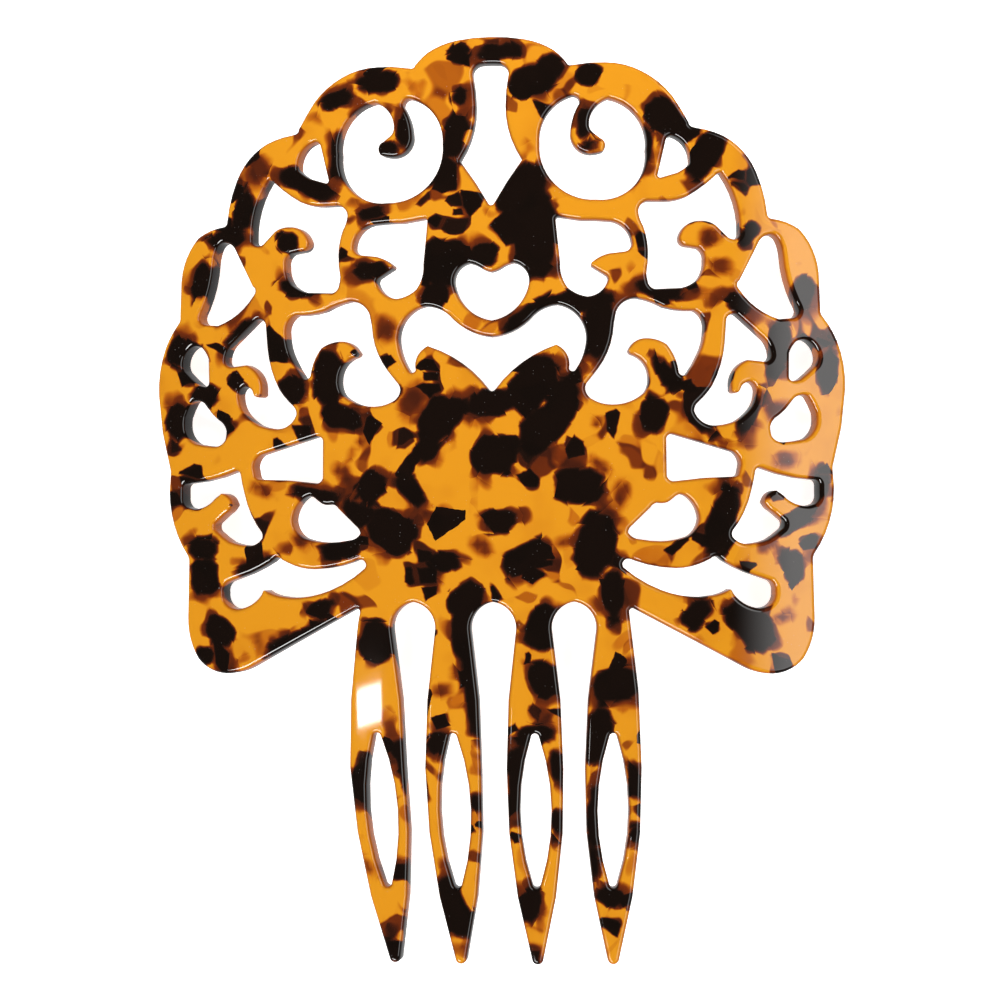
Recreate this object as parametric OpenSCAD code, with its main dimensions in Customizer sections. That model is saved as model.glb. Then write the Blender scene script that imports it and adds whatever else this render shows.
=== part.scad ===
// Pierced back comb (peineta), cut from one sheet of acetate and bent to the head.
// It lies on its hollow side: X across the comb, Y from tooth tips to crown, Z up.
// Origin: middle of the bounding box in X and Y, on the table in Z. Millimetres.

/* [Overall size] */
// Height of the comb from the crown to the tooth tips
comb_h = 150; // [110:1:200]
// Width of the sheet before it is bent, measured round the bend
sheet_w = 116; // [90:1:150]
// Thickness of the sheet
sheet_t = 3.6; // [2.8:0.1:5]
// Radius of the bend, to the middle of the sheet
bend_r = 160; // [120:1:300]

/* [Teeth] */
// Length of the teeth from the top of the gaps to the tips
tooth_l = 58.5; // [40:0.5:80]
// Width of a tooth at its neck, as a share of the tooth pitch
neck_share = 0.45; // [0.38:0.01:0.55]
// Width of a tooth at its widest, as a share of the tooth pitch
belly_share = 0.7; // [0.6:0.01:0.78]
// Width of the blunt tip
tip_w = 1.8; // [1.2:0.1:2.6]
// Width of the slot in a tooth, as a share of the tooth there
slot_share = 0.54; // [0.4:0.01:0.58]

/* [Hidden] */

// Named sizes that follow from the ones above
half_w = sheet_w / 2;
body_h = comb_h - tooth_l;
gap_y = tooth_l - comb_h / 2;
pitch = 0.225 * half_w;
neck_w = neck_share * pitch;
belly_w = belly_share * pitch;
slot_w = slot_share * belly_w;
// Furthest that a flat facet may stand off the curve it follows
facet_off = 0.04;

// Every outline below is a table of knots, in order anticlockwise:
// [across: share of half_w, up: share of body_h above the gap tops,
//  turn: degrees the edge swings to the left on its way to the next knot, 0 straight]

// Openings on the centre line, right half only, from the bottom to the top
arrow_slot = [
    [0.000, 0.702, 60], [0.009, 0.706, -8], [0.084, 0.779, 100], [0.084, 0.784, -34],
    [0.041, 0.877, -12], [0.050, 0.933, 80], [0.028, 0.951, 8], [0.000, 0.952, 0]
];
heart = [
    [0.000, 0.498, 72], [0.104, 0.564, 85], [0.062, 0.600, 25], [0.028, 0.591, -25],
    [0.000, 0.584, 0]
];
moustache = [
    [0.000, 0.373, 40], [0.009, 0.376, -36], [0.179, 0.454, -80], [0.214, 0.412, 120],
    [0.231, 0.409, 30], [0.262, 0.462, 85], [0.184, 0.525, 40], [0.117, 0.507, -45],
    [0.000, 0.469, 0]
];

// Openings of the right half, each cut again mirrored on the left
scroll_ring = [
    [0.224, 0.894, 77], [0.135, 0.812, 98], [0.293, 0.710, 102], [0.430, 0.798, 88],
    [0.326, 0.889, 74], [0.273, 0.842, 45], [0.283, 0.829, 0], [0.303, 0.819, -122],
    [0.309, 0.795, -22], [0.276, 0.791, -85], [0.220, 0.824, -32], [0.246, 0.881, 115]
];
small_wedge = [
    [0.470, 0.749, 0], [0.517, 0.758, 15], [0.548, 0.771, 60], [0.553, 0.780, 75],
    [0.503, 0.823, 75], [0.486, 0.816, 0], [0.463, 0.755, 110]
];
flag = [
    [0.455, 0.552, 5], [0.526, 0.554, 28], [0.572, 0.568, 45], [0.591, 0.604, 75],
    [0.574, 0.625, 0], [0.541, 0.628, -90], [0.521, 0.644, -80], [0.579, 0.673, -40],
    [0.624, 0.666, 0], [0.660, 0.644, 30], [0.678, 0.641, 80], [0.693, 0.653, 38],
    [0.641, 0.758, 65], [0.624, 0.753, -15], [0.547, 0.717, -25], [0.483, 0.708, 0],
    [0.436, 0.708, 80], [0.408, 0.689, 25], [0.422, 0.663, -18], [0.435, 0.620, -12],
    [0.430, 0.580, 12], [0.434, 0.565, 75]
];
beak = [
    [0.266, 0.539, 70], [0.323, 0.568, 70], [0.316, 0.577, 0], [0.281, 0.591, -100],
    [0.278, 0.599, -30], [0.326, 0.615, 0], [0.366, 0.618, 78], [0.390, 0.631, 80],
    [0.333, 0.672, 8], [0.250, 0.674, -6], [0.188, 0.680, 95], [0.179, 0.675, 0],
    [0.191, 0.599, 40], [0.211, 0.555, 35]
];
side_wedge = [
    [0.805, 0.500, 5], [0.845, 0.502, 75], [0.862, 0.516, 20], [0.852, 0.530, -22],
    [0.816, 0.614, 20], [0.806, 0.638, 65], [0.781, 0.650, 55], [0.749, 0.638, 0],
    [0.691, 0.568, 95], [0.690, 0.553, 40]
];
big_comma = [
    [0.333, 0.348, 42], [0.421, 0.368, 45], [0.434, 0.397, 38], [0.417, 0.424, 25],
    [0.391, 0.435, -75], [0.378, 0.443, -70], [0.424, 0.465, -38], [0.486, 0.454, -32],
    [0.519, 0.405, 110], [0.540, 0.401, 14], [0.574, 0.437, 28], [0.591, 0.481, 75],
    [0.562, 0.514, -20], [0.476, 0.520, 20], [0.403, 0.536, 72], [0.345, 0.511, 10],
    [0.336, 0.473, -28], [0.294, 0.411, 0], [0.264, 0.387, 45], [0.259, 0.374, 50],
    [0.279, 0.357, 30]
];
curled_comma = [
    [0.628, 0.311, 18], [0.678, 0.318, 22], [0.721, 0.340, 35], [0.738, 0.368, 85],
    [0.719, 0.388, 50], [0.697, 0.381, 0], [0.688, 0.371, -50], [0.676, 0.368, -95],
    [0.666, 0.376, -80], [0.714, 0.427, 0], [0.762, 0.424, 92], [0.781, 0.436, 38],
    [0.763, 0.463, 0], [0.685, 0.506, 110], [0.654, 0.499, -5], [0.649, 0.457, -24],
    [0.612, 0.380, -15], [0.572, 0.351, 50], [0.562, 0.336, 80]
];
almond = [
    [0.845, 0.390, 15], [0.866, 0.393, 10], [0.912, 0.418, 35], [0.919, 0.431, 65],
    [0.884, 0.463, 45], [0.855, 0.460, 30], [0.834, 0.439, 0], [0.833, 0.398, 90]
];
teardrop = [
    [0.819, 0.281, 10], [0.876, 0.286, 55], [0.912, 0.313, 18], [0.911, 0.334, 12],
    [0.890, 0.360, 50], [0.872, 0.365, 35], [0.848, 0.359, -5], [0.822, 0.339, -10],
    [0.800, 0.327, 50], [0.778, 0.308, 15], [0.782, 0.292, 65]
];
trapeze = [
    [0.503, 0.212, -8], [0.676, 0.220, 60], [0.687, 0.226, 5], [0.692, 0.242, 60],
    [0.670, 0.264, 5], [0.503, 0.295, 95], [0.483, 0.288, 0], [0.484, 0.223, 85]
];
leaf = [
    [0.471, 0.106, 18], [0.540, 0.114, 58], [0.573, 0.146, 50], [0.538, 0.185, 25],
    [0.521, 0.189, 25], [0.507, 0.185, -12], [0.486, 0.175, -25], [0.466, 0.173, 0],
    [0.457, 0.174, 50], [0.438, 0.166, 0], [0.386, 0.134, 45], [0.375, 0.122, 55],
    [0.407, 0.110, 12]
];
hooked_leaf = [
    [0.717, 0.101, 18], [0.769, 0.108, 12], [0.807, 0.125, 95], [0.814, 0.141, 0],
    [0.781, 0.158, -45], [0.759, 0.174, -85], [0.793, 0.195, -25], [0.824, 0.181, 38],
    [0.884, 0.167, 10], [0.907, 0.171, 65], [0.920, 0.189, 0], [0.920, 0.205, 88],
    [0.902, 0.214, -18], [0.750, 0.235, 100], [0.734, 0.229, -8], [0.722, 0.194, -20],
    [0.685, 0.138, 0], [0.670, 0.125, 50], [0.668, 0.114, 65]
];
sickle = [
    [0.362, 0.060, 20], [0.466, 0.020, 22], [0.578, 0.007, 5], [0.617, 0.010, 15],
    [0.660, 0.020, 0], [0.664, 0.018, 55], [0.745, -0.014, 10], [0.762, -0.012, 80],
    [0.789, 0.015, 70], [0.774, 0.035, -4], [0.705, 0.050, -10], [0.640, 0.071, 10],
    [0.626, 0.078, 60], [0.606, 0.075, -30], [0.509, 0.058, -20], [0.393, 0.072, 35],
    [0.371, 0.075, 65], [0.359, 0.066, 25]
];
side_openings = [
    scroll_ring, small_wedge, flag, beak, side_wedge, big_comma, curled_comma,
    almond, teardrop, trapeze, leaf, hooked_leaf, sickle
];

// Scalloped edge of the right half, from the armpit of the outer tooth to the crown
rim = [
    [0.377, -0.019, -130], [0.391, -0.013, 0], [0.707, -0.120, 25], [0.781, -0.131, 48],
    [0.871, -0.105, 36], [0.905, -0.029, 4], [0.901, 0.068, -32], [0.905, 0.082, 37],
    [0.965, 0.200, 6], [0.961, 0.232, -25], [0.963, 0.242, 14], [1.000, 0.375, 26],
    [0.976, 0.463, 16], [0.933, 0.506, -50], [0.927, 0.518, 6], [0.923, 0.582, 40],
    [0.866, 0.661, 28], [0.784, 0.679, -75], [0.773, 0.686, 18], [0.741, 0.762, 40],
    [0.647, 0.825, 18], [0.572, 0.838, 0], [0.559, 0.840, -55], [0.550, 0.847, 8],
    [0.505, 0.894, 25], [0.422, 0.937, 28], [0.319, 0.953, 14], [0.234, 0.949, 0],
    [0.220, 0.948, -60], [0.212, 0.952, 18], [0.176, 0.975, 22], [0.095, 0.995, 12],
    [0.000, 1.000, 0]
];

// Teeth from left to right: [root, belly, tip: where its middle stands, shares of half_w]
teeth = [
    [-0.335, -0.329, -0.280],
    [-0.113, -0.114, -0.094],
    [0.113, 0.114, 0.119],
    [0.336, 0.331, 0.328]
];
// Down a tooth from the gap top: [neck, belly, slot top, slot foot: shares of tooth_l]
tooth_rows = [0.083, 0.460, 0.371, 0.782];
// Swing of the edge above the belly, below it, round the tip, round the gap top,
// along a slot and round the ends of a slot
neck_turn = 9;
taper_turn = 16;
tip_turn = 150;
gap_turn = -90;
slot_turn = 36;
slot_end_turn = 144;
slot_end_share = 0.25;

function facets(c, turn) = max(1, ceil(sqrt(abs(c / 2 * tan(turn / 4)) / facet_off)));

function arc_points(a, b, turn) =
    let (c = norm(b - a), n = facets(c, turn))
    n == 1 ? [a] :
    let (
        heading = atan2(b[1] - a[1], b[0] - a[0]) - turn / 2,
        r = c / 2 / sin(turn / 2),
        m = a + r * [-sin(heading), cos(heading)]
    )
    [for (j = [0 : n - 1])
        m + r * [sin(heading + turn * j / n), -cos(heading + turn * j / n)]];

function loop_points(knots) = [
    for (i = [0 : len(knots) - 1])
        let (a = knots[i], b = knots[(i + 1) % len(knots)])
        each arc_points([a[0], a[1]], [b[0], b[1]], a[2])
];

// Knots in millimetres, from a table of shares
function sized(rows) = [for (k = rows) [k[0] * half_w, gap_y + k[1] * body_h, k[2]]];

// The same edge on the other side, walked from the top down; the last knot is left out
function mirrored(rows) = [
    for (i = [len(rows) - 2 : -1 : 1]) [-rows[i][0], rows[i][1], rows[i - 1][2]]
];

function with_mirror(rows) =
    let (n = len(rows))
    concat(
        [for (i = [0 : n - 2]) rows[i]],
        [[rows[n - 1][0], rows[n - 1][1], rows[n - 2][2]]],
        mirrored(rows)
    );

// Edge of one tooth, down its left side and up its right
function tooth_edge(i) =
    let (
        root = teeth[i][0] * half_w,
        belly = teeth[i][1] * half_w,
        tip = teeth[i][2] * half_w,
        neck_y = gap_y - tooth_rows[0] * tooth_l,
        belly_y = gap_y - tooth_rows[1] * tooth_l,
        tip_y = gap_y - tooth_l + tip_w / 2 * tan(tip_turn / 4)
    )
    concat(
        i == 0 ? [] : [[root - neck_w / 2, neck_y, neck_turn]],
        [
            [belly - belly_w / 2, belly_y, taper_turn],
            [tip - tip_w / 2, tip_y, tip_turn],
            [tip + tip_w / 2, tip_y, taper_turn],
            [belly + belly_w / 2, belly_y, neck_turn]
        ],
        i == len(teeth) - 1 ? [] : [
            [root + neck_w / 2, neck_y, gap_turn],
            [(root + teeth[i + 1][0] * half_w) / 2, gap_y, gap_turn]
        ]
    );

function whole_edge() =
    let (right = sized(rim), left = mirrored(right))
    concat(
        [[-right[0][0], right[0][1], neck_turn]],
        [for (i = [0 : len(teeth) - 1]) each tooth_edge(i)],
        right,
        left
    );

function slot_edge(i) =
    let (
        belly = teeth[i][1] * half_w,
        tip = teeth[i][2] * half_w,
        reach = (tooth_rows[3] - tooth_rows[1]) / (1 - tooth_rows[1]),
        foot = belly + reach * (tip - belly),
        top_y = gap_y - tooth_rows[2] * tooth_l,
        foot_y = gap_y - tooth_rows[3] * tooth_l,
        e = slot_end_share * slot_w / 2
    )
    [
        [belly - e, top_y, slot_turn], [foot - e, foot_y, slot_end_turn],
        [foot + e, foot_y, slot_turn], [belly + e, top_y, slot_end_turn]
    ];

function middle(rows) =
    let (xs = [for (k = rows) k[0]])
    (min(xs) + max(xs)) / 2;

// How far the hollow face has dropped below its crown, a distance u round the bend
function drop(u) = (bend_r - sheet_t / 2) * (1 - cos(u / bend_r * 180 / PI));

// It rests on the side lobes and the wings of both sides. Seen along X, the resting line is
// the lowest one under the edge at the balance point: [y, height] of each edge point
balance_y = 0.053 * comb_h;
low_points = [for (p = loop_points(whole_edge())) if (p[0] > 0) [p[1], -drop(p[0])]];
function height_at(a, b, y) = a[1] + (b[1] - a[1]) * (y - a[0]) / (b[0] - a[0]);
rest_lines = [
    for (a = low_points, b = low_points)
        if (a[0] < balance_y && b[0] > balance_y)
            [height_at(a, b, balance_y), a, b]
];
lowest_line = min([for (l = rest_lines) l[0]]);
rest_line = [for (l = rest_lines) if (l[0] == lowest_line) l][0];
rest_tilt = -atan2(rest_line[2][1] - rest_line[1][1], rest_line[2][0] - rest_line[1][0]);
rest_z = -min([
    for (p = low_points)
        p[0] * sin(rest_tilt) + (p[1] - sheet_t / 2) * cos(rest_tilt)
]);

// Carry what is drawn round u = 0 to its place u round the bend
module round_bend(u) {
    translate([0, 0, -bend_r])
        rotate([0, u / bend_r * 180 / PI, 0])
            translate([0, 0, bend_r])
                children();
}

module flat_cut(points, u) {
    round_bend(u)
        translate([-u, 0, -sheet_t])
            linear_extrude(height = 2 * sheet_t)
                polygon(points);
}

// Bent sheet between two places round the bend
module bent_strip(u0, u1) {
    a0 = u0 / bend_r * 180 / PI;
    a1 = u1 / bend_r * 180 / PI;
    translate([0, 0, -bend_r])
        rotate([-90, 0, 0])
            rotate([0, 0, a0 - 90])
                rotate_extrude(angle = a1 - a0, $fa = 0.5, $fs = 0.5)
                    translate([bend_r - sheet_t / 2, -comb_h])
                        square([sheet_t, 2 * comb_h]);
}

// Everything inside the flat points, with walls that run straight to the axis of the bend
module square_to_bend(points) {
    low = 0.9 * bend_r;
    high = bend_r + sheet_t;
    translate([0, 0, low - bend_r])
        linear_extrude(height = high - low, scale = [high / low, 1], slices = 1)
            polygon([for (p = points) [low * tan(p[0] / bend_r * 180 / PI), p[1]]]);
}

module cut_sheet() {
    intersection() {
        bent_strip(-1.02 * half_w, 1.02 * half_w);
        square_to_bend(loop_points(whole_edge()));
    }
}

module comb() {
    color([0.85, 0.52, 0.12])
        translate([0, 0, rest_z])
            rotate([rest_tilt, 0, 0])
                difference() {
                    cut_sheet();
                    for (rows = [arrow_slot, heart, moustache])
                        flat_cut(loop_points(with_mirror(sized(rows))), 0);
                    for (rows = side_openings, s = [0, 1])
                        mirror([s, 0, 0])
                            flat_cut(loop_points(sized(rows)), middle(sized(rows)));
                    for (i = [0 : len(teeth) - 1])
                        flat_cut(loop_points(slot_edge(i)), teeth[i][1] * half_w);
                }
}

comb();
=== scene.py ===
from math import ceil, cos, pi, radians, sin, tan

import bmesh
import bpy
import numpy as np
from mathutils import Matrix, Vector


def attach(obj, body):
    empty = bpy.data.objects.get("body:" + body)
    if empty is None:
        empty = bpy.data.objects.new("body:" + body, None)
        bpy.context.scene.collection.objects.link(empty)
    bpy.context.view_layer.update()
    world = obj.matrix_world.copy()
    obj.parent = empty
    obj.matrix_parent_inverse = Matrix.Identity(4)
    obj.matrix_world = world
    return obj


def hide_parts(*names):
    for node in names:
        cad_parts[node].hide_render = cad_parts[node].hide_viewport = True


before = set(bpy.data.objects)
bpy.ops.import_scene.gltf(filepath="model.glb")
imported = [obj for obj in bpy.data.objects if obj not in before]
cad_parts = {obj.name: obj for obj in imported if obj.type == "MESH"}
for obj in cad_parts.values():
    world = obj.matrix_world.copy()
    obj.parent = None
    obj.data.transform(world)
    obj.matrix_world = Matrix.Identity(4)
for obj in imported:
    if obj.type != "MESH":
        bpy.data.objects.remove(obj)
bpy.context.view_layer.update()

# Flat sheet
# The comb starts as a flat sheet of acetate. The head is pierced with a fret saw inside a
# scalloped edge, and the four teeth with their slots are sawn out of the same sheet.
comb_h = 0.150
sheet_w = 0.116
sheet_t = 0.0036
tooth_l = 0.0585
half_w = sheet_w / 2
body_h = comb_h - tooth_l
gap_y = tooth_l - comb_h / 2
# An arc is divided every so many degrees, but never shorter than this
arc_step = 7.0
shortest_step = 0.00014

# Each outline is a table of knots, anticlockwise:
# (across: share of half_w, up: share of body_h above the gap tops,
#  turn: degrees the edge swings to the left on its way to the next knot)
arrow_slot = [
    (0.000, 0.702, 60), (0.009, 0.706, -8), (0.084, 0.779, 100), (0.084, 0.784, -34),
    (0.041, 0.877, -12), (0.050, 0.933, 80), (0.028, 0.951, 8), (0.000, 0.952, 0),
]

heart = [
    (0.000, 0.498, 72), (0.104, 0.564, 85), (0.062, 0.600, 25), (0.028, 0.591, -25),
    (0.000, 0.584, 0),
]

moustache = [
    (0.000, 0.373, 40), (0.009, 0.376, -36), (0.179, 0.454, -80), (0.214, 0.412, 120),
    (0.231, 0.409, 30), (0.262, 0.462, 85), (0.184, 0.525, 40), (0.117, 0.507, -45),
    (0.000, 0.469, 0),
]

scroll_ring = [
    (0.224, 0.894, 77), (0.135, 0.812, 98), (0.293, 0.710, 102), (0.430, 0.798, 88),
    (0.326, 0.889, 74), (0.273, 0.842, 45), (0.283, 0.829, 0), (0.303, 0.819, -122),
    (0.309, 0.795, -22), (0.276, 0.791, -85), (0.220, 0.824, -32), (0.246, 0.881, 115),
]

small_wedge = [
    (0.470, 0.749, 0), (0.517, 0.758, 15), (0.548, 0.771, 60), (0.553, 0.780, 75),
    (0.503, 0.823, 75), (0.486, 0.816, 0), (0.463, 0.755, 110),
]

flag = [
    (0.455, 0.552, 5), (0.526, 0.554, 28), (0.572, 0.568, 45), (0.591, 0.604, 75),
    (0.574, 0.625, 0), (0.541, 0.628, -90), (0.521, 0.644, -80), (0.579, 0.673, -40),
    (0.624, 0.666, 0), (0.660, 0.644, 30), (0.678, 0.641, 80), (0.693, 0.653, 38),
    (0.641, 0.758, 65), (0.624, 0.753, -15), (0.547, 0.717, -25), (0.483, 0.708, 0),
    (0.436, 0.708, 80), (0.408, 0.689, 25), (0.422, 0.663, -18), (0.435, 0.620, -12),
    (0.430, 0.580, 12), (0.434, 0.565, 75),
]

beak = [
    (0.266, 0.539, 70), (0.323, 0.568, 70), (0.316, 0.577, 0), (0.281, 0.591, -100),
    (0.278, 0.599, -30), (0.326, 0.615, 0), (0.366, 0.618, 78), (0.390, 0.631, 80),
    (0.333, 0.672, 8), (0.250, 0.674, -6), (0.188, 0.680, 95), (0.179, 0.675, 0),
    (0.191, 0.599, 40), (0.211, 0.555, 35),
]

side_wedge = [
    (0.805, 0.500, 5), (0.845, 0.502, 75), (0.862, 0.516, 20), (0.852, 0.530, -22),
    (0.816, 0.614, 20), (0.806, 0.638, 65), (0.781, 0.650, 55), (0.749, 0.638, 0),
    (0.691, 0.568, 95), (0.690, 0.553, 40),
]

big_comma = [
    (0.333, 0.348, 42), (0.421, 0.368, 45), (0.434, 0.397, 38), (0.417, 0.424, 25),
    (0.391, 0.435, -75), (0.378, 0.443, -70), (0.424, 0.465, -38), (0.486, 0.454, -32),
    (0.519, 0.405, 110), (0.540, 0.401, 14), (0.574, 0.437, 28), (0.591, 0.481, 75),
    (0.562, 0.514, -20), (0.476, 0.520, 20), (0.403, 0.536, 72), (0.345, 0.511, 10),
    (0.336, 0.473, -28), (0.294, 0.411, 0), (0.264, 0.387, 45), (0.259, 0.374, 50),
    (0.279, 0.357, 30),
]

curled_comma = [
    (0.628, 0.311, 18), (0.678, 0.318, 22), (0.721, 0.340, 35), (0.738, 0.368, 85),
    (0.719, 0.388, 50), (0.697, 0.381, 0), (0.688, 0.371, -50), (0.676, 0.368, -95),
    (0.666, 0.376, -80), (0.714, 0.427, 0), (0.762, 0.424, 92), (0.781, 0.436, 38),
    (0.763, 0.463, 0), (0.685, 0.506, 110), (0.654, 0.499, -5), (0.649, 0.457, -24),
    (0.612, 0.380, -15), (0.572, 0.351, 50), (0.562, 0.336, 80),
]

almond = [
    (0.845, 0.390, 15), (0.866, 0.393, 10), (0.912, 0.418, 35), (0.919, 0.431, 65),
    (0.884, 0.463, 45), (0.855, 0.460, 30), (0.834, 0.439, 0), (0.833, 0.398, 90),
]

teardrop = [
    (0.819, 0.281, 10), (0.876, 0.286, 55), (0.912, 0.313, 18), (0.911, 0.334, 12),
    (0.890, 0.360, 50), (0.872, 0.365, 35), (0.848, 0.359, -5), (0.822, 0.339, -10),
    (0.800, 0.327, 50), (0.778, 0.308, 15), (0.782, 0.292, 65),
]

trapeze = [
    (0.503, 0.212, -8), (0.676, 0.220, 60), (0.687, 0.226, 5), (0.692, 0.242, 60),
    (0.670, 0.264, 5), (0.503, 0.295, 95), (0.483, 0.288, 0), (0.484, 0.223, 85),
]

leaf = [
    (0.471, 0.106, 18), (0.540, 0.114, 58), (0.573, 0.146, 50), (0.538, 0.185, 25),
    (0.521, 0.189, 25), (0.507, 0.185, -12), (0.486, 0.175, -25), (0.466, 0.173, 0),
    (0.457, 0.174, 50), (0.438, 0.166, 0), (0.386, 0.134, 45), (0.375, 0.122, 55),
    (0.407, 0.110, 12),
]

hooked_leaf = [
    (0.717, 0.101, 18), (0.769, 0.108, 12), (0.807, 0.125, 95), (0.814, 0.141, 0),
    (0.781, 0.158, -45), (0.759, 0.174, -85), (0.793, 0.195, -25), (0.824, 0.181, 38),
    (0.884, 0.167, 10), (0.907, 0.171, 65), (0.920, 0.189, 0), (0.920, 0.205, 88),
    (0.902, 0.214, -18), (0.750, 0.235, 100), (0.734, 0.229, -8), (0.722, 0.194, -20),
    (0.685, 0.138, 0), (0.670, 0.125, 50), (0.668, 0.114, 65),
]

sickle = [
    (0.362, 0.060, 20), (0.466, 0.020, 22), (0.578, 0.007, 5), (0.617, 0.010, 15),
    (0.660, 0.020, 0), (0.664, 0.018, 55), (0.745, -0.014, 10), (0.762, -0.012, 80),
    (0.789, 0.015, 70), (0.774, 0.035, -4), (0.705, 0.050, -10), (0.640, 0.071, 10),
    (0.626, 0.078, 60), (0.606, 0.075, -30), (0.509, 0.058, -20), (0.393, 0.072, 35),
    (0.371, 0.075, 65), (0.359, 0.066, 25),
]

rim = [
    (0.377, -0.019, -130), (0.391, -0.013, 0), (0.707, -0.120, 25), (0.781, -0.131, 48),
    (0.871, -0.105, 36), (0.905, -0.029, 4), (0.901, 0.068, -32), (0.905, 0.082, 37),
    (0.965, 0.200, 6), (0.961, 0.232, -25), (0.963, 0.242, 14), (1.000, 0.375, 26),
    (0.976, 0.463, 16), (0.933, 0.506, -50), (0.927, 0.518, 6), (0.923, 0.582, 40),
    (0.866, 0.661, 28), (0.784, 0.679, -75), (0.773, 0.686, 18), (0.741, 0.762, 40),
    (0.647, 0.825, 18), (0.572, 0.838, 0), (0.559, 0.840, -55), (0.550, 0.847, 8),
    (0.505, 0.894, 25), (0.422, 0.937, 28), (0.319, 0.953, 14), (0.234, 0.949, 0),
    (0.220, 0.948, -60), (0.212, 0.952, 18), (0.176, 0.975, 22), (0.095, 0.995, 12),
    (0.000, 1.000, 0),
]

# Teeth from left to right: (root, belly, tip), where the middle of the tooth stands,
# as shares of half_w
teeth = [
    (-0.335, -0.329, -0.280),
    (-0.113, -0.114, -0.094),
    (0.113, 0.114, 0.119),
    (0.336, 0.331, 0.328),
]
# Down a tooth, as shares of tooth_l
neck_row, belly_row, slot_top_row, slot_foot_row = 0.083, 0.460, 0.371, 0.782
pitch = 0.225 * half_w
neck_w = 0.45 * pitch
belly_w = 0.7 * pitch
tip_w = 0.0018
slot_w = 0.54 * belly_w
# Swing of the edge above the belly, below it, round the tip, round the gap top, along a slot
# and round the ends of a slot
neck_turn, taper_turn, tip_turn, gap_turn, slot_turn, slot_end_turn = 9, 16, 150, -90, 36, 144
# Breadth of a slot at its ends, as a share of slot_w
slot_end_share = 0.25
# Points nearer than this are one, in the sheet and where a mirrored half meets its other
weld = 2e-6
mirror_weld = 1e-7


def sized(rows):
    """Knots in metres, from a table of shares."""
    return [(across * half_w, gap_y + up * body_h, turn) for across, up, turn in rows]


def saw(sheet, knots, closed):
    """Saws one outline, arc by arc, as a chain of edges. A turn of 0 is a straight line."""
    last = sheet.verts.new((knots[0][0], knots[0][1], 0))
    legs = list(zip(knots, knots[1:] + knots[:1]))
    for (x0, y0, turn), (x1, y1, _) in legs if closed else legs[:-1]:
        chord = Vector((x1 - x0, y1 - y0, 0))
        if turn == 0:
            last = bmesh.ops.extrude_vert_indiv(sheet, verts=[last])["verts"][0]
            last.co = (x1, y1, 0)
            continue
        centre = Vector((x0, y0, 0)) + chord / 2
        centre += Vector((-chord.y, chord.x, 0)) / 2 / tan(radians(turn) / 2)
        steps = max(1, min(ceil(abs(turn) / arc_step), ceil(chord.length / shortest_step)))
        swung = bmesh.ops.spin(
            sheet, geom=[last], cent=centre, axis=(0, 0, 1), angle=radians(turn),
            steps=steps, use_duplicate=False,
        )
        last = [v for v in swung["geom_last"] if isinstance(v, bmesh.types.BMVert)][0]
        last.co = (x1, y1, 0)


sheet = bmesh.new()
for rows in (arrow_slot, heart, moustache, rim):
    saw(sheet, sized(rows), closed=False)
for rows in (scroll_ring, small_wedge, flag, beak, side_wedge, big_comma, curled_comma,
             almond, teardrop, trapeze, leaf, hooked_leaf, sickle):
    saw(sheet, sized(rows), closed=True)
bmesh.ops.mirror(
    sheet, geom=sheet.verts[:] + sheet.edges[:], matrix=Matrix.Identity(4),
    merge_dist=mirror_weld, axis="X",
)

armpit_x, armpit_y, _ = sized(rim)[0]
teeth_edge = [(-armpit_x, armpit_y, neck_turn)]
neck_y = gap_y - neck_row * tooth_l
belly_y = gap_y - belly_row * tooth_l
tip_y = gap_y - tooth_l + tip_w / 2 * tan(radians(tip_turn / 4))
for i, (root, belly, tip) in enumerate(teeth):
    if i > 0:
        gap_x = (teeth[i - 1][0] + root) / 2 * half_w
        teeth_edge += [(gap_x, gap_y, gap_turn)]
    teeth_edge += [
        (root * half_w - neck_w / 2, neck_y, neck_turn),
        (belly * half_w - belly_w / 2, belly_y, taper_turn),
        (tip * half_w - tip_w / 2, tip_y, tip_turn),
        (tip * half_w + tip_w / 2, tip_y, taper_turn),
        (belly * half_w + belly_w / 2, belly_y, neck_turn),
    ]
    if i < len(teeth) - 1:
        teeth_edge += [(root * half_w + neck_w / 2, neck_y, gap_turn)]
teeth_edge += [(armpit_x, armpit_y, 0)]
saw(sheet, teeth_edge, closed=False)
for root, belly, tip in teeth:
    down = (slot_foot_row - belly_row) / (1 - belly_row)
    foot = (belly + down * (tip - belly)) * half_w
    top_y, foot_y = gap_y - slot_top_row * tooth_l, gap_y - slot_foot_row * tooth_l
    end = slot_end_share * slot_w / 2
    saw(sheet, [
        (belly * half_w - end, top_y, slot_turn), (foot - end, foot_y, slot_end_turn),
        (foot + end, foot_y, slot_turn), (belly * half_w + end, top_y, slot_end_turn),
    ], closed=True)
bmesh.ops.remove_doubles(sheet, verts=sheet.verts[:], dist=weld)
# Filled once here, only to tell the acetate side of each edge from the open side
bmesh.ops.triangle_fill(sheet, use_beauty=True, edges=sheet.edges[:], normal=(0, 0, 1))

# Filed and polished edges
# Every sawn edge is filed round and polished until it has no corner, so the wall of each
# opening rolls over into the two faces of the sheet.
edge_round = 0.00075
round_steps = 4
# Cosines of half a corner's bend: the sharpest that is allowed for, and a straight edge
sharpest_bend, straight_bend = 0.35, 0.9999
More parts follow.
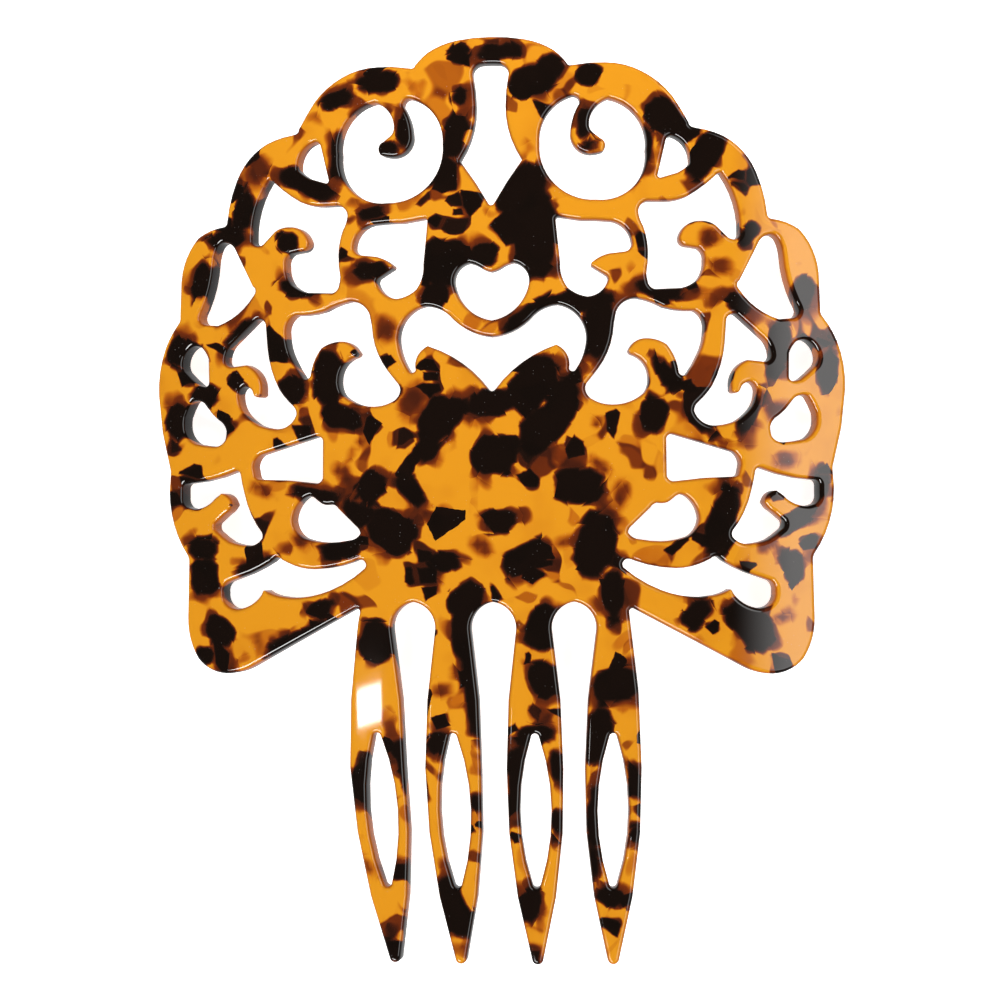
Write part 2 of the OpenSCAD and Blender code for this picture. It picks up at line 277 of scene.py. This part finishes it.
# In a tight hollow the rounding takes this share of the room there is. It changes along an
# edge no faster than this slope, which is passed on from point to point in a few sweeps.
room_share = 0.45
most_slope = 0.7
slope_sweeps = 10
sawn = sheet.verts.layers.float_vector.new("sawn")
away = sheet.verts.layers.float_vector.new("away")
rounding = sheet.verts.layers.float.new("rounding")
for vert in sheet.verts:
    sides = [e for e in vert.link_edges if e.is_boundary]
    legs = [side.other_vert(vert).co - vert.co for side in sides]
    outward = []
    for side, leg in zip(sides, legs):
        across = Vector((leg.y, -leg.x, 0)).normalized()
        inside = side.link_faces[0].calc_center_median() - vert.co
        outward.append(-across if across.dot(inside) > 0 else across)
    mean = (outward[0] + outward[1]).normalized()
    half_bend = max(sharpest_bend, mean.dot(outward[0]))
    vert[sawn] = vert.co
    vert[away] = mean / half_bend
    vert[rounding] = edge_round
    if (legs[0] + legs[1]).dot(mean) < 0 and half_bend < straight_bend:
        slope = (1 - half_bend * half_bend) ** 0.5 / half_bend
        room = min(leg.length for leg in legs) / slope
        vert[rounding] = min(edge_round, room_share * room)
outline = [e for e in sheet.edges if e.is_boundary]
for sweep in range(slope_sweeps):
    for side in outline:
        one, two = side.verts
        step = most_slope * side.calc_length()
        one[rounding] = min(one[rounding], two[rounding] + step)
        two[rounding] = min(two[rounding], one[rounding] + step)


def lay(verts, angle):
    """Puts a ring of the rounded edge where it has turned angle away from the face."""
    for vert in verts:
        vert.co = vert[sawn] + vert[away] * vert[rounding] * (sin(angle) - 1)
        vert.co.z = sheet_t / 2 - vert[rounding] * (1 - cos(angle))


# The face of the sheet, inside the rounding, is filled and cut into a fine grid to bend well
bmesh.ops.delete(
    sheet, geom=[e for e in sheet.edges if not e.is_boundary], context="EDGES_FACES",
)
lay(sheet.verts, 0)
bmesh.ops.triangle_fill(sheet, use_beauty=True, edges=sheet.edges[:], normal=(0, 0, 1))
grid_step = 0.0012
grid_weld = 1e-6
for reach, across_it in ((half_w, Vector((1, 0, 0))), (comb_h / 2, Vector((0, 1, 0)))):
    steps = int(reach / grid_step)
    for i in range(-steps, steps + 1):
        bmesh.ops.bisect_plane(
            sheet, geom=sheet.verts[:] + sheet.edges[:] + sheet.faces[:], dist=grid_weld,
            plane_co=i * grid_step * across_it, plane_no=across_it,
        )
rim_edges = [e for e in sheet.edges if e.is_boundary]
for face in sheet.faces:
    if face.normal.z < 0:
        face.normal_flip()
# The rounding grows out of the face ring by ring, and a last ring goes down to half thickness
for k in range(1, round_steps + 2):
    grown = bmesh.ops.extrude_edge_only(sheet, edges=rim_edges)["geom"]
    ring = [v for v in grown if isinstance(v, bmesh.types.BMVert)]
    rim_edges = [e for e in grown if isinstance(e, bmesh.types.BMEdge) and e.is_boundary]
    lay(ring, min(k / round_steps, 1) * pi / 2)
    if k > round_steps:
        for vert in ring:
            vert.co.z = 0
bmesh.ops.mirror(
    sheet, geom=sheet.verts[:] + sheet.edges[:] + sheet.faces[:],
    matrix=Matrix.Identity(4), merge_dist=mirror_weld, axis="Z",
)
bmesh.ops.recalc_face_normals(sheet, faces=sheet.faces[:])

# Bend
# The polished comb is warmed and laid over a round former, so that it follows the head.
# It lies on its hollow side on the tips of the outer scallops.
bend_r = 0.160
rest_tilt = radians(2.451)
rest_lift = 0.01114
# A face flatter than this belongs to one of the two polished faces of the sheet
flat_face = 0.9999
bmesh.ops.triangulate(sheet, faces=[f for f in sheet.faces if len(f.verts) > 4])
sheet.normal_update()
in_sheet = sheet.verts.layers.float_vector.new("in_sheet")
lie_down = Matrix.Rotation(rest_tilt, 3, "X")
normals = []
for vert in sheet.verts:
    flat = vert.co.copy()
    normal = vert.normal.copy()
    if any(abs(face.normal.z) > flat_face for face in vert.link_faces):
        normal = Vector((0, 0, 1 if flat.z > 0 else -1))
    turned = flat.x / bend_r
    spot = Vector((
        (bend_r + flat.z) * sin(turned), flat.y, (bend_r + flat.z) * cos(turned) - bend_r,
    ))
    vert[in_sheet] = flat
    vert.co = lie_down @ spot + Vector((0, 0, rest_lift))
    normals.append(lie_down @ Matrix.Rotation(turned, 3, "Y") @ normal)
comb_mesh = bpy.data.meshes.new("comb_shell")
sheet.to_mesh(comb_mesh)
sheet.free()
for face in comb_mesh.polygons:
    face.use_smooth = True
comb_mesh.normals_split_custom_set_from_vertices(normals)
comb = bpy.data.objects.new("comb_shell", comb_mesh)
bpy.context.scene.collection.objects.link(comb)
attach(comb, "root")
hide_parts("comb")

# Acetate
# Tortoise pattern: dark and amber flakes are pressed into one block before the sheet is
# sliced from it, so a flake runs on in depth. A flake at the face is near black with a
# crisp edge; one that lies deeper shows brown and soft through the amber.

# The largest flakes in millimetres: across from the middle line, up from half height, half
# length, half breadth, degrees its length is turned from across
crown_flakes = [
    (-5, 72, 2.2, 1.8, 60), (1.5, 72.5, 3.6, 1.8, 0), (6.5, 67.5, 4.5, 2.6, 10),
    (10, 70, 2.4, 2.0, -30), (15.5, 68.5, 2.4, 2.2, 0), (28, 61.5, 4.6, 2.8, -50),
    (34.5, 56, 4.8, 2.6, 60), (-18.5, 68, 3.6, 2.0, 0), (-25, 65.5, 3.2, 1.7, 20),
    (-30.5, 51.8, 7.4, 1.9, -25), (-41.5, 48, 5.4, 1.9, 75), (-44.5, 43.5, 4, 1.8, 10),
    (-49.5, 37, 4.4, 1.9, 80), (-33.8, 42.5, 2.3, 2.1, 0), (-31.5, 35.2, 4.4, 1.9, 0),
    (-19, 46.8, 2.8, 1.4, 15), (-19.5, 37.5, 3.4, 1.9, -10), (-13.8, 60.5, 4.4, 1.6, 80),
    (-5, 65.4, 2.0, 1.6, 60), (-6, 59, 4.6, 2.2, 75), (-8, 53.5, 3.4, 2.2, 40),
    (15, 60.5, 4.4, 1.6, 80), (-25, 56.5, 5.4, 1.3, 88), (25, 57, 4.0, 1.1, 88),
    (-16.8, 57.2, 2.6, 1.6, 10), (15.4, 57.2, 2.3, 1.4, 0),
]
brow_flakes = [
    (4.6, 50, 5.2, 3.4, 60), (7, 42.6, 7.4, 3.7, 88), (-7, 38.6, 4.4, 4.0, 0),
    (-1.2, 39.8, 2.8, 2.2, 0), (-9, 32.6, 3.0, 2.2, 60), (13, 32, 6.6, 2.2, 10),
    (17, 28, 6.4, 2.6, 80), (5.4, 29.4, 4.8, 1.7, 35), (27, 33.8, 5.0, 1.8, -10),
    (39.6, 31.4, 3.0, 1.7, -30), (50.5, 33.2, 3.2, 2.2, 80), (41.4, 43, 2.2, 1.4, 45),
    (-54, 25, 3.0, 2.3, 60), (-42, 28, 4.6, 1.7, 35), (-49, 17.6, 3.6, 1.9, 0),
    (-54, 13.4, 3.6, 2.4, 70), (-33, 18.4, 3.0, 2.2, -45), (-27, 20, 5.4, 2.5, 90),
    (-24.6, 13.8, 4.2, 2.4, -10), (28, 20.6, 3.8, 1.6, -60), (25.8, 13.8, 3.6, 2.6, 80),
    (46.6, 24.6, 6.0, 2.0, 80), (55, 21.6, 4.8, 1.8, 85), (33.6, 12.4, 3.4, 1.8, -50),
    (41.4, 13.8, 4.6, 1.7, 60),
]
body_flakes = [
    (-8.2, 13.2, 4.4, 3.2, 60), (-10.5, 8.4, 3.4, 2.0, 50), (0.4, 7.2, 3.9, 3.5, 0),
    (0.5, 15.8, 4.2, 2.4, 0), (6.5, 18.5, 5.6, 3.4, 55), (11.4, 15.5, 4.8, 2.7, 75),
    (8, 11.4, 4.6, 3.4, 45), (14, 2.2, 4.4, 3.1, 5), (16.5, -7.5, 5.4, 3.5, 80),
    (19.2, -15, 5.8, 2.0, 90), (1.2, -3.4, 3.4, 2.2, 5), (5.6, -9.2, 4.8, 2.5, 35),
    (-13.2, 1.6, 3.7, 2.0, -50), (-19.6, 2.4, 3.1, 2.5, 40), (-16.4, -5, 4.3, 3.4, -30),
    (-22, -2, 3.4, 1.9, -40), (-7.6, -10, 3.4, 1.9, -10), (-4.4, -16, 3.6, 2.8, 60),
    (-29.5, 1, 5.2, 1.7, -15), (-24.5, -7.8, 3.8, 1.9, 10),
]
wing_flakes = [
    (37, -3.5, 6.4, 2.7, 75), (53.6, 2, 2.6, 1.6, 75), (49, -3.6, 4.6, 1.8, 30),
    (48.6, -10.6, 3.2, 2.2, -70), (41.6, -20.5, 5.2, 3.2, -50), (32.5, -18.4, 3.0, 2.1, 60),
    (-49.4, -7.6, 3.4, 2.2, 0), (-49, -12.6, 3.6, 2.9, 90), (-40, -10.6, 4.6, 1.5, 15),
    (-46, -21.4, 3.2, 2.3, -40), (-49, -25.6, 2.2, 1.7, 0), (-32.4, -22.2, 8.0, 1.5, 27),
    (-28, -17.6, 3.2, 1.7, 30),
]
tooth_flakes = [
    (-19, -23, 3.6, 3.4, 60), (-15, -42, 4.8, 1.6, -75), (-21.6, -45.4, 4.2, 1.6, 85),
    (-15, -60, 2.0, 1.5, 0), (-16.3, -73, 2.2, 1.8, 0), (-4.6, -22, 6.4, 2.4, -85),
    (-3.2, -32, 8.0, 1.5, -86), (-9.4, -39.5, 2.6, 2.0, 60), (-3, -49, 2.1, 1.4, 90),
    (-6.3, -66, 5.6, 2.7, -65), (8, -20.6, 3.8, 3.2, 60), (8.2, -29, 3.4, 2.7, -70),
    (6.6, -38, 4.4, 1.9, 10), (3.6, -45.5, 7.6, 1.5, 88), (10, -42.6, 4.4, 1.4, -85),
    (10, -52.4, 2.7, 1.3, 90), (5.6, -65.2, 3.2, 2.0, 80), (19.8, -30, 4.2, 2.9, 15),
    (17, -37.8, 4.6, 2.2, 80), (22.4, -45, 3.8, 1.4, -85), (16, -53, 8.4, 1.5, 88),
    (22.4, -54, 2.1, 1.2, 90), (18.6, -64.2, 2.9, 1.7, -20),
]
deep_flakes = [
    (-12.6, 15.6, 4.2, 2.3, 60), (17.6, 4.8, 2.3, 1.5, -30), (20.6, -0.6, 3.6, 1.7, 80),
    (11.6, -7.2, 2.4, 1.4, 30), (-1.4, -8, 2.6, 1.6, -50), (-2.6, 1.2, 4.2, 0.7, 85),
    (-9, -12.8, 2.0, 1.7, 0), (17, 12, 1.5, 1.4, 0), (-21.4, 8.8, 3.4, 1.0, 55),
    (-31.5, -7, 2.6, 1.4, -50), (-16.6, 27, 2.7, 2.2, 90), (-38.6, 54, 3.2, 2.4, 60),
    (35.6, 42, 2.6, 2.0, 0), (37, 37.4, 2.4, 1.8, 0), (46.6, 14, 3.2, 2.3, 20),
    (48, 6, 2.5, 1.9, 0), (-38, 1.4, 2.7, 1.5, -20), (47, -19.8, 2.2, 1.2, 30),
    (-20.4, -59.6, 2.8, 1.2, -60), (-8.4, -31.2, 2.4, 1.5, 10), (-3.4, 13, 2.4, 1.5, -40),
    (-24, 4, 2.4, 1.6, -50), (19, -2, 3.0, 1.6, -60),
]

# A flake is a lozenge with its corners cut: where they are cut, and how far it swells
corner_cut = 0.66
swell = 1.05
farthest_out = -3.0
# Flakes lean as they go down: millimetres across and up for each millimetre of height
lean_across, lean_up = 0.6, -0.45
# The deeper flakes were charted where they show, this far from where they are
deep_across, deep_up = 0.3, -0.4


def charted(rows):
    """How far each point of the mesh lies inside the nearest flake of the rows, in mm."""
    inside = np.full(len(along), farthest_out)
    for across, up, length, breadth, turn in rows:
        one, two = along - across, upward - up
        lengthwise = abs(one * cos(radians(turn)) + two * sin(radians(turn))) / length
        sideways = abs(two * cos(radians(turn)) - one * sin(radians(turn))) / breadth
        cut = corner_cut * (lengthwise + sideways)
        out = np.maximum(np.maximum(lengthwise, sideways), cut)
        inside = np.maximum(inside, (swell - out) * breadth)
    return inside


spots = np.zeros(len(comb_mesh.vertices) * 3)
comb_mesh.attributes["in_sheet"].data.foreach_get("vector", spots)
spots = 1000 * spots.reshape(-1, 3)
below = spots[:, 2] - 1000 * sheet_t / 2
along = spots[:, 0] + lean_across * below
upward = spots[:, 1] + lean_up * below
face_depth = charted(crown_flakes + brow_flakes + body_flakes + wing_flakes + tooth_flakes)
along, upward = along + deep_across, upward + deep_up
deep_depth = charted(deep_flakes)
chart = comb_mesh.attributes.new("flakes", "FLOAT_VECTOR", "POINT")
chart.data.foreach_set("vector", np.stack((face_depth, deep_depth, 0 * below), 1).ravel())

acetate = bpy.data.materials.new("tortoise_acetate")
acetate.use_nodes = True
nodes, links = acetate.node_tree.nodes, acetate.node_tree.links
shader = nodes["Principled BSDF"]
shader.inputs["Roughness"].default_value = 0.035
shader.inputs["IOR"].default_value = 1.48

# The colour is wired with these few steps


def node(kind, **settings):
    """Adds a node to the acetate."""
    made = nodes.new(kind)
    for name, value in settings.items():
        setattr(made, name, value)
    return made


def plug(socket, value):
    """Links a node's result into a socket, or sets a plain number or colour there."""
    if hasattr(value, "links"):
        links.new(value, socket)
    else:
        socket.default_value = value


def calc(operation, *values):
    """Arithmetic on numbers."""
    made = node("ShaderNodeMath", operation=operation)
    for socket, value in zip(made.inputs, values):
        plug(socket, value)
    return made.outputs[0]


def shift(operation, *values):
    """Arithmetic on places."""
    made = node("ShaderNodeVectorMath", operation=operation)
    for socket, value in zip(made.inputs, values):
        plug(socket, value)
    return made.outputs[0]


def blend(share, one, two):
    """Colour one at share 0 and colour two at share 1."""
    share_socket, one_socket, two_socket, colour_socket = 0, 6, 7, 2
    made = node("ShaderNodeMix", data_type="RGBA")
    plug(made.inputs[share_socket], share)
    plug(made.inputs[one_socket], one)
    plug(made.inputs[two_socket], two)
    return made.outputs[colour_socket]


def between(value, low, high):
    """0 at low and 1 at high, smoothly."""
    made = node("ShaderNodeMapRange", interpolation_type="SMOOTHSTEP")
    plug(made.inputs["Value"], value)
    plug(made.inputs["From Min"], low)
    plug(made.inputs["From Max"], high)
    return made.outputs["Result"]


def wander(place, size, detail):
    """Smooth noise from about -0.5 to 0.5 in each direction."""
    made = node("ShaderNodeTexNoise", noise_dimensions="2D")
    plug(made.inputs["Vector"], place)
    plug(made.inputs["Scale"], 1 / size)
    plug(made.inputs["Detail"], detail)
    return shift("SUBTRACT", made.outputs["Color"], (0.5, 0.5, 0.5))


def cells(kind, place, size, **inputs):
    """A pattern of cells about size across, each with its own random colour."""
    made = node("ShaderNodeTexVoronoi", voronoi_dimensions="2D", feature=kind)
    plug(made.inputs["Vector"], place)
    plug(made.inputs["Scale"], 1 / size)
    for name, value in inputs.items():
        plug(made.inputs[name], value)
    return made


def channels(colour):
    """The three numbers that a colour is made of."""
    made = node("ShaderNodeSeparateColor")
    plug(made.inputs[0], colour)
    return made.outputs


# Places on the sheet, in metres. They follow the lean of the flakes and are pushed about by
# smooth noise of one size by some reach: a slow swirl of the whole pattern, small nibbles in
# the edges at the face, and a blur of the small flakes below it.
swirl_size, swirl_reach = 0.012, 0.003
nibble_size, nibble_reach = 0.0016, 0.0004
blur_size, blur_reach = 0.007, 0.004
vary_size = 0.005
sheet_place = node("ShaderNodeAttribute", attribute_name="in_sheet").outputs["Vector"]
axes = node("ShaderNodeSeparateXYZ")
plug(axes.inputs[0], sheet_place)
slant = shift("SCALE", (lean_across, lean_up, 0))
plug(slant.node.inputs["Scale"], calc("SUBTRACT", axes.outputs["Z"], sheet_t / 2))
place = shift("ADD", sheet_place, slant)
swirl = wander(place, swirl_size, detail=0.0)
swirled = shift("MULTIPLY_ADD", swirl, (swirl_reach,) * 3, place)
nibble = wander(swirled, nibble_size, detail=1.0)
face = shift("MULTIPLY_ADD", nibble, (nibble_reach,) * 3, swirled)
vary = channels(wander(place, vary_size, detail=1.0))
blur = wander(place, blur_size, detail=1.0)
under = shift("MULTIPLY_ADD", blur, (blur_reach,) * 3, swirled)

# Large flakes: their edges are chipped and ragged by some millimetres
chip_size, chip_depth = 0.0032, 0.55
rag_size, rag_depth, rag_start = 0.0042, 1.3, -0.60
flakes = node("ShaderNodeSeparateXYZ")
plug(flakes.inputs[0], node("ShaderNodeAttribute", attribute_name="flakes").outputs["Vector"])
chipped = channels(cells("F1", face, chip_size).outputs["Color"])[1]
rag = channels(wander(face, rag_size, detail=1.0))[0]
ragged = calc("MULTIPLY_ADD", rag, rag_depth, rag_start)
ragged = calc("MULTIPLY_ADD", chipped, chip_depth, ragged)

# What is left clear: 1 is amber and 0 is flake, for what lies near the face and for what
# lies deep. Millimetres inside a flake's edge, where each starts and where it is full
near_start, near_full = -0.05, 0.45
brown_start, brown_full = -0.5, 1.3
halo_full = 0.1
halo_width, halo_least, halo_change = 0.35, 0.3, 9
halo_share, brown_share = 0.8, 0.85
inward = calc("ADD", flakes.outputs["X"], ragged)
near_left = calc("SUBTRACT", 1, between(inward, near_start, near_full))
fade = calc("MAXIMUM", calc("MULTIPLY_ADD", vary[0], halo_change, halo_width), halo_least)
halo = between(inward, calc("MULTIPLY", fade, -1), halo_full)
brown = between(calc("ADD", flakes.outputs["Y"], ragged), brown_start, brown_full)
deep_left = calc(
    "MULTIPLY",
    calc("MULTIPLY_ADD", halo, -halo_share, 1),
    calc("MULTIPLY_ADD", brown, -brown_share, 1),
)

# Small flakes at random: size of a cell, share of the cells that are dark, the most amber
# left round a flake in its cell, and where the pattern starts
small_flakes = [
    (0.0047, 0.03, 0.0009, (0.06, 0.08, 0)),
    (0.0027, 0.08, 0.0005, (0.84, 0.74, 0)),
]
pale_flake, black_flake = -0.35, 0.45
tight_share = 0.35
small_edge = 0.0004
haze_softness = 0.8
haze_start, haze_full = 0.14, -0.06
for size, share, margin, start in small_flakes:
    here = shift("ADD", face, start)
    picked = channels(cells("F1", here, size).outputs["Color"])
    border = cells("DISTANCE_TO_EDGE", here, size).outputs["Distance"]
    dark = calc("LESS_THAN", picked[0], share)
    thick = between(picked[2], pale_flake, black_flake)
    low = calc("MULTIPLY_ADD", picked[1], margin / size, -tight_share * margin / size)
    inside = between(border, low, calc("ADD", low, small_edge / size))
    flake = calc("MULTIPLY", calc("MULTIPLY", dark, inside), thick)
    near_left = calc("MULTIPLY", near_left, calc("SUBTRACT", 1, flake))
    there = shift("ADD", under, start)
    soft = cells("SMOOTH_F1", there, size, Smoothness=haze_softness)
    soft_pick = channels(soft.outputs["Color"])[0]
    haze = between(soft_pick, share + haze_start, share + haze_full)
    deep_left = calc("MULTIPLY", deep_left, calc("SUBTRACT", 1, haze))

# Together they give the density: how much dark acetate is looked through. A faint cloud adds
# a little. The sawn walls and the lower part of their rounding are painted darker as well:
# painted shade for the dark rims that the polished edges show, where one looks along the
# sheet.
near_share, deep_share = 0.93, 0.7
cloud_size, cloud_start, cloud_full, cloud_share = 0.009, 0.02, 0.28, 0.05
wall_shade_start, wall_shade_full, wall_shade_share = 0.00176, 0.0014, 0.22
near = calc("SUBTRACT", 1, near_left)
deep = calc("SUBTRACT", 1, deep_left)
clear_near = calc("MULTIPLY_ADD", near, -near_share, 1)
clear_deep = calc("MULTIPLY_ADD", deep, -deep_share, 1)
density = calc("SUBTRACT", 1, calc("MULTIPLY", clear_near, clear_deep))
billow = channels(wander(place, cloud_size, detail=2.0))[1]
cloud = between(billow, cloud_start, cloud_full)
density = calc("MULTIPLY_ADD", cloud, cloud_share, density)
# Painted shade: the colour darkens down the rounding and over the walls, below the flat face
height = calc("ABSOLUTE", axes.outputs["Z"])
density = calc("MULTIPLY_ADD", between(height, wall_shade_start, wall_shade_full), wall_shade_share, density)

# From clear amber through red-brown to near black: density, colour
amber = (0.53, 0.21, 0.0088, 1)
near_black = (0.004, 0.002, 0.0012, 1)
browns = [
    (0.2, (0.35, 0.090, 0.0045, 1)),
    (0.42, (0.125, 0.020, 0.003, 1)),
    (0.64, (0.040, 0.008, 0.003, 1)),
    (0.84, (0.009, 0.0035, 0.002, 1)),
]
tint = node("ShaderNodeValToRGB")
plug(tint.inputs["Fac"], density)
tint.color_ramp.elements[0].color = amber
tint.color_ramp.elements[1].color = near_black
for at, colour in browns:
    tint.color_ramp.elements.new(at).color = colour

# A few specks of dust on the polish. A speck is the middle of a chosen cell, as shares of
# the cell, and specks keep to patches.
dust_cell = 0.0007
dust_chosen = 0.1
speck_edge, speck_full = 0.13, 0.05
patch_edge, patch_full = -0.05, 0.2
dust_cover = 0.2
dust_grey = (0.42, 0.40, 0.38, 1)
speck = cells("F1", face, dust_cell)
chosen = calc("LESS_THAN", channels(speck.outputs["Color"])[0], dust_chosen)
dust = calc("MULTIPLY", chosen, between(speck.outputs["Distance"], speck_edge, speck_full))
dust = calc("MULTIPLY", dust, between(vary[1], patch_edge, patch_full))
dust = calc("MULTIPLY", dust, dust_cover)
plug(shader.inputs["Base Color"], blend(dust, tint.outputs["Color"], dust_grey))
comb_mesh.materials.append(acetate)

# Table
# The comb lies on plain white card under soft lamps. The card glows a little, so that it
# stays white in the picture, and the polish does not mirror it.
card_reach = 20.0
card_drop = 0.00004
card = bmesh.new()
bmesh.ops.create_grid(card, x_segments=1, y_segments=1, size=card_reach)
card_mesh = bpy.data.meshes.new("card")
card.to_mesh(card_mesh)
card.free()
floor = bpy.data.objects.new("card", card_mesh)
floor.location.z = -card_drop
floor.visible_glossy = False
bpy.context.scene.collection.objects.link(floor)
white = bpy.data.materials.new("white_card")
white.use_nodes = True
paper = white.node_tree.nodes["Principled BSDF"]
paper.inputs["Base Color"].default_value = (0.9, 0.9, 0.9, 1)
paper.inputs["Roughness"].default_value = 0.9
paper.inputs["Specular IOR Level"].default_value = 0.0
paper.inputs["Emission Color"].default_value = (1, 1, 1, 1)
paper.inputs["Emission Strength"].default_value = 0.9
card_mesh.materials.append(white)

# Lamps
# Large soft lamps stand round the table and face it. The polish mirrors the one on the right
# as a milky veil, the window strip as thin glints and the small one as a patch on a tooth.

# Name, degrees from straight up, compass degrees from +X, degrees turned about its own beam,
# distance, two sizes, watts, whether it is mirrored, share of its width that is faded out
lights = [
    ("right_softbox", 45, 0, 0, 0.65, 0.34, 0.9, 3.4, True, 0.35),
    ("window_strip", 50, 243, 0, 0.75, 0.18, 0.55, 6.6, True, 0),
    ("tooth_glint", 25.6, 201.6, -16, 0.7, 0.044, 0.016, 0.09, True, 0),
    ("crown_fill", 50, 90, 0, 0.30, 0.15, 0.30, 0.9, False, 0),
]
for name, tilt, compass, spin, distance, along, across, watts, mirrored, faded in lights:
    lamp = bpy.data.lights.new(name, "AREA")
    lamp.shape = "RECTANGLE"
    lamp.size, lamp.size_y = along, across
    lamp.energy = watts
    lamp_object = bpy.data.objects.new(name, lamp)
    beam = Matrix.Rotation(radians(compass), 4, "Z") @ Matrix.Rotation(radians(tilt), 4, "Y")
    lamp_object.matrix_world = (
        beam @ Matrix.Translation((0, 0, distance)) @ Matrix.Rotation(radians(spin), 4, "Z")
    )
    lamp_object.visible_glossy = mirrored
    if faded > 0:
        lamp.use_nodes = True
        sheer, wires = lamp.node_tree.nodes, lamp.node_tree.links
        where = sheer.new("ShaderNodeSeparateXYZ")
        wires.new(sheer.new("ShaderNodeNewGeometry").outputs["Parametric"], where.inputs[0])
        graded = sheer.new("ShaderNodeMapRange")
        graded.interpolation_type = "SMOOTHSTEP"
        graded.inputs["From Max"].default_value = faded
        wires.new(where.outputs["X"], graded.inputs["Value"])
        wires.new(graded.outputs["Result"], sheer["Emission"].inputs["Strength"])
    bpy.context.scene.collection.objects.link(lamp_object)

# Room
# The room round the table is dim above and paler below the table top, which is what the
# polished walls of the openings mirror. Levels by the upward part of the direction looked in.
horizon, well_below = 0.0, -0.3
dim_above, pale_below = 0.05, 0.6
world = bpy.data.worlds.new("studio")
world.use_nodes = True
sky, wires = world.node_tree.nodes, world.node_tree.links
sky["Background"].inputs["Color"].default_value = (1, 1, 1, 1)
toward = sky.new("ShaderNodeSeparateXYZ")
wires.new(sky.new("ShaderNodeTexCoord").outputs["Generated"], toward.inputs[0])
level = sky.new("ShaderNodeMapRange")
level.inputs["From Min"].default_value = horizon
level.inputs["From Max"].default_value = well_below
level.inputs["To Min"].default_value = dim_above
level.inputs["To Max"].default_value = pale_below
wires.new(toward.outputs["Z"], level.inputs["Value"])
wires.new(level.outputs["Result"], sky["Background"].inputs["Strength"])
bpy.context.scene.world = world
bpy.context.scene.view_settings.view_transform = "Standard"

# Camera
# It looks nearly straight down on the comb from a little to the right, as the photograph
# was taken. Its place is given from the comb before the comb tilts on its scallops.
far = 0.400
yaw, pitch_down, roll = radians(-5.18), radians(-0.38), radians(0.29)
aside = -0.00111
focal = 88.8
sensor = 36.0
nearest, farthest = 0.02, 10.0
turn = (
    Matrix.Rotation(roll, 3, "Z") @ Matrix.Rotation(pitch_down, 3, "X")
    @ Matrix.Rotation(yaw, 3, "Y")
)
camera = bpy.data.objects.new("camera", bpy.data.cameras.new("camera"))
camera.data.lens = focal
camera.data.sensor_width = sensor
camera.data.clip_start, camera.data.clip_end = nearest, farthest
stand = turn.transposed() @ Vector((-aside, 0, far))
camera_place = Matrix.Translation(lie_down @ stand + Vector((0, 0, rest_lift)))
camera.matrix_world = camera_place @ (lie_down @ turn.transposed()).to_4x4()
bpy.context.scene.collection.objects.link(camera)
bpy.context.scene.camera = camera
